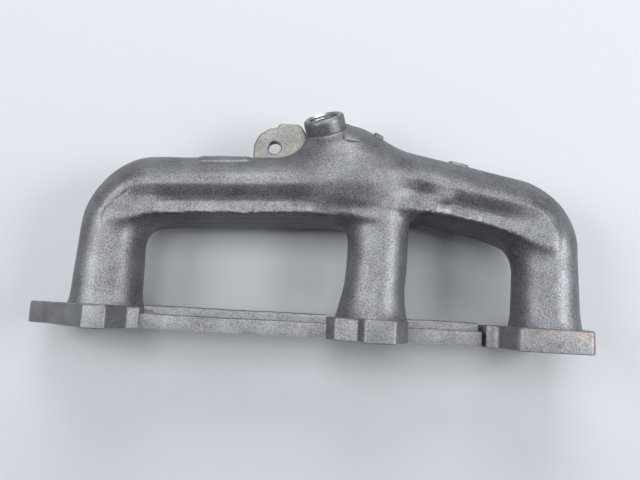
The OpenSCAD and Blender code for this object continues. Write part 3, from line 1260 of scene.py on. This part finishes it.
@dataclass
class Flange:
    """The head flange: port pads, the strips between them and their ribs.

    Attributes:
        layout: sizes.
        skin: as-cast material.
        machined: machined material.
    """

    layout: Layout
    skin: bpy.types.Material
    machined: bpy.types.Material

    @staticmethod
    def _upright() -> Matrix:
        """Places (x, z, height) as x, height above the head face, z."""
        return Matrix(((1, 0, 0, 0), (0, 0, 1, 0), (0, 1, 0, 0), (0, 0, 0, 1)))

    def shapes(self) -> list[PadShape]:
        """The three pads."""
        f, n = self.layout.far.port_x, self.layout.near.port_x
        return [
            PadShape(
                "far_port_pad",
                (
                    (f - 42, -4.5, 4), (f - 45.5, -9.5, 3), (f - 46, -18.5, 4), (f - 42, -24.5, 4),
                    (f - 36, -24.5, 3), (f - 8, -36, 4), (f + 8, -36, 4),
                    (f + 20, -20, 4), (f + 22.5, -14, 1), (f + 22.5, 14, 1), (f + 17, 18, 3), (f + 13, 36, 2.5),
                    (f + 2, 36, 2.5), (f - 33, 0, 5),
                ),
                f,
                ((f - 35.5, -14), (f + 7, 27.5)),
            ),
            PadShape(
                "middle_port_pad",
                (
                    (-24, -14, 1), (-12, -36, 4), (9, -36, 4), (18, -14, 1), (18, 14, 1), (9, 36, 2.5), (-7, 36, 2.5),
                    (-8, 24, 2), (-20, 20, 2.5), (-24, 14, 1),
                ),
                0,
                ((0, 27.5), (0, -27.5)),
            ),
            PadShape(
                "near_port_pad",
                (
                    (n - 35.1, -14, 0.6), (n - 26, -14, 3), (n - 18, -36, 5), (n + 10, -36, 6), (n + 21, -10, 8),
                    (n + 21, 6, 8), (n + 10, 36, 3), (n - 25, 34, 5), (n - 29, 14, 4), (n - 35.1, 14, 0.6),
                ),
                n,
                ((n, 27.5), (n, -27.5)),
            ),
        ]

    def build(self) -> None:
        """Make the pads, strips and ribs."""
        for shape in self.shapes():
            self._pad(shape)
        for side in ("far", "near"):
            self._bar(f"{side}_strip", 0.9, True)
            self._bar(f"{side}_strip_rib", 1.5, False)

    def _pad(self, shape: PadShape) -> None:
        """Make one port pad."""
        top = self.layout.pad_t
        spot = 0.35
        bm = bmesh.new()
        holes = [
            Wall(circle(shape.port, 0, shape.port_r, 72), [(0.5, 0), (0, 0.5), (0, top)])
        ]
        for x, z in shape.bolts:
            holes.append(
                Wall(
                    circle(x, z, shape.bolt_r, 48),
                    [(0.4, 0), (0, 0.4), (0, top - spot), (2.4, top - spot), (2.6, top)],
                )
            )
        Plate(
            Wall(rounded(shape.corners), bevel_levels(0, top, 0.35, 1.3)), holes, self._upright()
        ).build(bm)
        bm.normal_update()
        if shape.node == "near_port_pad":
            for face in bm.faces:
                if abs(face.normal.x) > 0.95 and face.calc_center_median().x < shape.port - 30:
                    face.material_index = 1
        Piece(shape.node, (shape.node,), Slot.FLANGE, (self.skin, self.machined)).finish(bm)

    def _bar(self, node: str, edge: float, machined: bool) -> None:
        """Make a strip or a rib as a bevelled bar with a slightly uneven cast skin."""
        low, high = (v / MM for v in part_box(node))
        size = high - low
        bm = bmesh.new()
        bmesh.ops.create_cube(
            bm, size=1, matrix=Matrix.Translation((low + high) / 2) @ Matrix.Diagonal((*size, 1))
        )
        sharp = [
            e
            for e in bm.edges
            if abs(e.verts[0].co.x - e.verts[1].co.x) > 1 and min(v.co.y for v in e.verts) > low.y + 1
        ]
        bmesh.ops.bevel(
            bm, geom=sharp, offset=edge, offset_type="OFFSET", segments=4, profile=0.5, affect="EDGES", material=-1
        )
        for face in bm.faces:
            face.material_index = 1 if machined and face.normal.y < -0.9 else 0
        along = [e for e in bm.edges if abs(e.verts[0].co.x - e.verts[1].co.x) > 1]
        bmesh.ops.subdivide_edges(bm, edges=along, cuts=int(size.x / 1.6), use_grid_fill=True)
        for v in bm.verts:
            if v.co.y > low.y + 0.5 and low.x + 0.2 < v.co.x < high.x - 0.2:
                v.co += Vector((0, 1, 0.4 if v.co.z > 0 else -0.4)) * unevenness(v.co, 0.12, 0.25)
        Piece(node, (node,), Slot.FLANGE, (self.skin, self.machined)).finish(bm)


@dataclass
class Outlet:
    """The outlet flange behind the collector.

    Attributes:
        layout: sizes.
        skin: as-cast material.
        machined: machined material.
    """

    layout: Layout
    skin: bpy.types.Material
    machined: bpy.types.Material
    disc_r: float = 31.0
    ear_r: float = 10.5
    pitch: float = 74.0
    seat_r: float = 24.5
    seat_depth: float = 2.5
    hole_r: float = 4.25

    def _outline(self) -> Loop:
        """Disc with two ears, joined by soft hollows."""
        cx, cy = self.layout.hub
        angles = np.arange(0, 360, 1.25)
        a = np.radians(angles)
        half = self.pitch / 2
        inside = self.ear_r**2 - (half * np.sin(a)) ** 2
        ear = np.where(inside > 0, half * np.abs(np.cos(a)) + np.sqrt(np.maximum(inside, 0)), 0)
        flank = np.where(np.abs(np.sin(a)) > 1e-3, self.ear_r / np.maximum(np.abs(np.sin(a)), 1e-3), 1e3)
        ray = np.maximum(self.disc_r, np.where(flank * np.abs(np.cos(a)) < half, flank, ear))
        weights = np.exp(-0.5 * (np.arange(-4, 5) / 1.8) ** 2)
        weights /= weights.sum()
        ray = sum(w * np.roll(ray, k) for w, k in zip(weights, range(-4, 5)))
        return [(cx + r * math.cos(t), cy + r * math.sin(t)) for r, t in zip(ray, a)]

    def build(self) -> None:
        """Make the flange."""
        lay = self.layout
        cx, cy = lay.hub
        low, high = (v.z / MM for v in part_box("outlet_flange"))
        bore = lay.outlet_r - 0.5
        holes = [
            Wall(
                circle(cx, cy, bore, 96),
                [(self.seat_r - bore, low), (self.seat_r - bore, low + self.seat_depth), (0, low + self.seat_depth),
                 (0, high)],
            )
        ]
        for side in (-1, 1):
            holes.append(
                Wall(
                    circle(cx + side * self.pitch / 2, cy, self.hole_r, 40),
                    [(0.5, low), (0, low + 0.5), (0, high - 0.5), (0.5, high)],
                )
            )
        bm = bmesh.new()
        Plate(
            Wall(self._outline(), bevel_levels(low, high, 0.4, 1.6)), holes, Matrix.Identity(4)
        ).build(bm)
        Piece("outlet_flange", ("outlet_flange",), Slot.FLANGE, (self.skin, self.machined)).finish(bm)


@dataclass
class SensorBoss:
    """The threaded boss on the collector, turned about its own axis.

    Attributes:
        layout: sizes.
        skin: as-cast material.
        machined: machined material.
    """

    layout: Layout
    skin: bpy.types.Material
    machined: bpy.types.Material
    pitch: float = 1.5
    ridge: float = 0.75

    def profile(self) -> list[tuple[float, float, int]]:
        """Half section from the foot outside to the foot inside: radius, height, material."""
        lay = self.layout
        top, low, r = lay.boss_top, lay.boss_cut, lay.boss_r
        points = [
            (r, low, 0), (r, low + 1.5, 0), (r + 0.1, top - 3, 0), (r, top - 1.6, 0), (r - 0.25, top - 0.8, 0),
            (r - 0.9, top - 0.2, 0), (r - 1.5, top, 1), (lay.sensor_r + ridge_out(self.ridge), top, 1),
        ]
        z = top - 1.1
        while z - self.pitch > low + 0.2:
            points += [(lay.sensor_r, z, 1), (lay.sensor_r + self.ridge, z - self.pitch / 2, 1)]
            z -= self.pitch
        points += [(lay.sensor_r, z, 1), (lay.sensor_r, low, 1)]
        return points

    def build(self) -> None:
        """Make the boss."""
        lay = self.layout
        axis = Vector(lay.boss_axis).normalized()
        side = axis.orthogonal().normalized()
        foot = Vector(lay.boss_at)
        points = self.profile()
        bm = bmesh.new()
        verts = [bm.verts.new(foot + side * r + axis * z) for r, z, _ in points]
        n = len(verts)
        edges = [bm.edges.new((verts[k], verts[(k + 1) % n])) for k in range(n)]
        bmesh.ops.spin(
            bm, geom=verts + edges, cent=foot, axis=axis, angle=2 * math.pi, steps=96, use_merge=True
        )
        bmesh.ops.remove_doubles(bm, verts=bm.verts, dist=1e-4)
        for face in bm.faces:
            c = face.calc_center_median() - foot
            height = c.dot(axis)
            radius = (c - axis * height).length
            face.material_index = 1 if radius < lay.boss_r - 0.95 and height > lay.boss_cut + 0.1 else 0
        Piece("sensor_boss", ("sensor_boss",), Slot.BOSS, (self.skin, self.machined)).finish(bm, 30)


def ridge_out(ridge: float) -> float:
    """How far the countersink stands out of the thread's minor radius, mm."""
    return ridge + 0.45


@dataclass
class ShieldLug:
    """The flat lug that holds the heat shield.

    Attributes:
        layout: sizes.
        skin: as-cast material.
        machined: machined material of the drilled hole.
    """

    layout: Layout
    skin: bpy.types.Material
    machined: bpy.types.Material
    corners: tuple[tuple[float, float, float], ...] = (
        (-69.4, 90, 0.5), (-69.2, 104.5, 6), (-66.8, 110.2, 5), (-61, 114.2, 5), (-57.2, 114.8, 1.5),
        (-55.2, 117.2, 1.8), (-44, 117.4, 4), (-38, 109, 3), (-36, 92, 0.5),
    )
    hole: tuple[float, float, float] = (-57.6, 103.0, 3.6)

    def build(self) -> None:
        """Make the lug."""
        low, high = (v.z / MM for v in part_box("shield_lug"))
        x, y, r = self.hole
        bm = bmesh.new()
        levels = bevel_levels(low, high + 0.4, 0, 1.5, 5)
        levels[0] = (-1.2, low)
        levels.insert(1, (0.0, low + 1.2))
        Plate(
            Wall(rounded(self.corners, 0.7), levels),
            [Wall(circle(x, y, r, 40), [(0.3, low), (0, low + 0.3), (0, high - 0.1), (0.5, high + 0.4)])],
            Matrix.Identity(4),
            machined_bottom=False,
            machined_levels=(),
        ).build(bm)
        Piece("shield_lug", ("shield_lug",), Slot.LUG, (self.skin, self.machined)).finish(bm, 40)


@dataclass(frozen=True)
class RaisedPad:
    """A plain raised patch that follows the casting's skin.

    Attributes:
        node: CAD node.
        at: point near its middle, mm.
        along: direction of its length.
        across: direction of its width.
        half: half length and half width, mm.
        rise: height over the skin, mm.
        square: 2 for an ellipse, larger for a squarer outline.
    """

    node: str
    at: tuple[float, float, float]
    along: tuple[float, float, float]
    across: tuple[float, float, float]
    half: tuple[float, float]
    rise: float
    square: float

    def build(self, shape: CastShape, skin: bpy.types.Material) -> None:
        """Make the patch.

        Args:
            shape: the casting's fields.
            skin: as-cast material.
        """
        rings, count = 14, 72
        start = project(shape.skin, np.array([self.at], float))[0]
        rows, levels = [], []
        for k in range(1, rings + 1):
            t = k / rings
            for j in range(count):
                a = 2 * math.pi * j / count
                c, s = math.cos(a), math.sin(a)
                scale = t / (abs(c) ** self.square + abs(s) ** self.square) ** (1 / self.square)
                rows.append(
                    start
                    + np.array(self.along) * self.half[0] * c * scale
                    + np.array(self.across) * self.half[1] * s * scale
                )
                edge = min(1.0, (1 - t) * rings / 3.2)
                levels.append(-0.7 + (self.rise + 0.7) * math.sin(edge * math.pi / 2))
        points = np.vstack([[start], rows])
        level = np.array([self.rise, *levels])
        top = project(shape.skin, points, level)
        g = gradient(shape.skin, top, 0.3)
        g /= np.linalg.norm(g, axis=1, keepdims=True)
        top = top + g * np.array([unevenness(Vector(c), 0.1, 0.3) for c in top])[:, None]
        low = top - g * (level + 1.4)[:, None]
        bm = bmesh.new()
        sheets = [[bm.verts.new(c) for c in sheet] for sheet in (top, low)]
        for number, sheet in enumerate(sheets):
            for j in range(count):
                n = (j + 1) % count
                fan = [sheet[0], sheet[1 + j], sheet[1 + n]]
                bm.faces.new(fan if number == 0 else fan[::-1])
                for k in range(rings - 1):
                    a, b = 1 + k * count, 1 + (k + 1) * count
                    quad = [sheet[a + j], sheet[b + j], sheet[b + n], sheet[a + n]]
                    bm.faces.new(quad if number == 0 else quad[::-1])
        rim = 1 + (rings - 1) * count
        for j in range(count):
            n = (j + 1) % count
            bm.faces.new([sheets[0][rim + j], sheets[1][rim + j], sheets[1][rim + n], sheets[0][rim + n]])
        Piece(self.node, (self.node,), Slot.CAST, (skin,)).finish(bm, 60)


RAISED_PADS = (
    RaisedPad("casting_pad", (-84, 94, 6), (1, 0.05, 0), (0, -0.5, 0.85), (16, 5.5), 0.9, 5),
    RaisedPad("collector_pad", (-15.5, 104, 14), (1, 0, 0), (0, 0.75, -0.6), (5.6, 4.2), 0.9, 2.6),
    RaisedPad("oval_pad", (45, 99, 2), (-0.98, 0.19, 0), (0, -0.1, 1), (6.2, 4.0), 1.0, 2.2),
    RaisedPad("locating_nub", (-2, 108, 4), (0.8, -0.6, 0), (0, -0.2, 1), (3.2, 3.0), 1.6, 2),
)


# --------------------------------------------------------------------------- stage


@dataclass(frozen=True)
class SoftLight:
    """A square soft light.

    Attributes:
        name: object name.
        at: place, m.
        to: point that it faces, m.
        size: side length, m.
        watts: power.
        colour: sRGB hex colour.
    """

    name: str
    at: tuple[float, float, float]
    to: tuple[float, float, float]
    size: float
    watts: float
    colour: str = "#ffffff"

    def build(self) -> None:
        """Add the light."""
        data = bpy.data.lights.new(self.name, "AREA")
        data.shape = "SQUARE"
        data.size = self.size
        data.energy = self.watts
        data.color = linear(self.colour)[:3]
        obj = bpy.data.objects.new(self.name, data)
        obj.location = self.at
        obj.rotation_euler = (Vector(self.to) - Vector(self.at)).to_track_quat("-Z", "Y").to_euler()
        bpy.context.scene.collection.objects.link(obj)


@dataclass(frozen=True)
class Studio:
    """Pale floor, soft light and the camera.

    Attributes:
        floor_z: level of the floor, m.
        eye: camera place, m.
        pitch: upward turn of the view from straight down, radians.
        roll: roll of the camera, radians.
        lens_mm: focal length for a 36 mm wide sensor.
    """

    floor_z: float
    eye: tuple[float, float, float] = (-0.0295, 0.012, 0.303)
    pitch: float = math.atan(75 / 560)
    roll: float = math.radians(3.1)
    lens_mm: float = 31.5

    def build(self) -> None:
        """Make the floor, lights, world and camera."""
        self._floor()
        for light in (
            SoftLight("left_softbox", (-0.55, 0.10, 0.55), (-0.05, 0.06, 0), 0.35, 6.0),
            SoftLight("right_softbox", (0.60, 0.08, 0.50), (0.0, 0.06, 0), 0.35, 8.5),
            SoftLight("overhead", (-0.02, 0.22, 0.95), (-0.03, 0.06, 0), 0.45, 6.0),
            SoftLight("back_softbox", (-0.04, 0.80, 0.55), (-0.03, 0.08, 0), 0.5, 10.0),
        ):
            light.build()
        world = bpy.data.worlds.new("soft_room")
        world.use_nodes = True
        world.node_tree.nodes["Background"].inputs[0].default_value = linear("#dfe3ea")
        world.node_tree.nodes["Background"].inputs[1].default_value = 0.22
        bpy.context.scene.world = world
        self._camera()
        scene = bpy.context.scene
        scene.view_settings.view_transform = "Standard"

    def _floor(self) -> None:
        """Add the pale floor."""
        bm = bmesh.new()
        bmesh.ops.create_grid(bm, x_segments=1, y_segments=1, size=6)
        mesh = bpy.data.meshes.new("floor")
        bm.to_mesh(mesh)
        bm.free()
        mat = bpy.data.materials.new("pale paper floor")
        mat.use_nodes = True
        shader = mat.node_tree.nodes["Principled BSDF"]
        shader.inputs["Base Color"].default_value = linear("#8a8d91")
        shader.inputs["Roughness"].default_value = 0.9
        mesh.materials.append(mat)
        obj = bpy.data.objects.new("floor", mesh)
        obj.location = (0, 0, self.floor_z)
        bpy.context.scene.collection.objects.link(obj)

    def _camera(self) -> None:
        """Add the camera, looking down at the part from the flange's side."""
        up = Vector((0, math.cos(self.pitch), math.sin(self.pitch)))
        back = Vector((0, -math.sin(self.pitch), math.cos(self.pitch)))
        right = Vector((1, 0, 0))
        c, s = math.cos(self.roll), math.sin(self.roll)
        axes = Matrix((right * c + up * s, up * c - right * s, back)).transposed()
        data = bpy.data.cameras.new("camera")
        data.lens = self.lens_mm
        data.sensor_width = 36
        data.clip_start = 0.01
        obj = bpy.data.objects.new("camera", data)
        obj.matrix_world = Matrix.Translation(self.eye) @ axes.to_4x4()
        bpy.context.scene.collection.objects.link(obj)
        bpy.context.scene.camera = obj


# --------------------------------------------------------------------------- main


def main() -> None:
    """Build the manifold in order, then the studio."""
    layout = read_layout()
    skin, flange, machined = CAST_SKIN.build(), FLANGE_SKIN.build(), MACHINED.build()
    lug, soot = LUG_SKIN.build(), SOOT.build()
    body = CastBody(layout)
    whole = body.build()
    whole.verts.index_update()
    stands_for = {"collector": ("collector", "collector_dome", "far_stub", "middle_stub", "near_stub")}
    for name, bm in body.part(whole).items():
        Piece(name, stands_for.get(name, (name,)), Slot.CAST, (skin, soot)).finish(bm, 180, "normal")
    whole.free()
    Flange(layout, flange, machined).build()
    Outlet(layout, flange, machined).build()
    SensorBoss(layout, skin, machined).build()
    ShieldLug(layout, lug, machined).build()
    for pad in RAISED_PADS:
        pad.build(body.shape, skin)
    Studio(CAD_BOX[0].z).build()


if __name__ == "__main__":
    main()
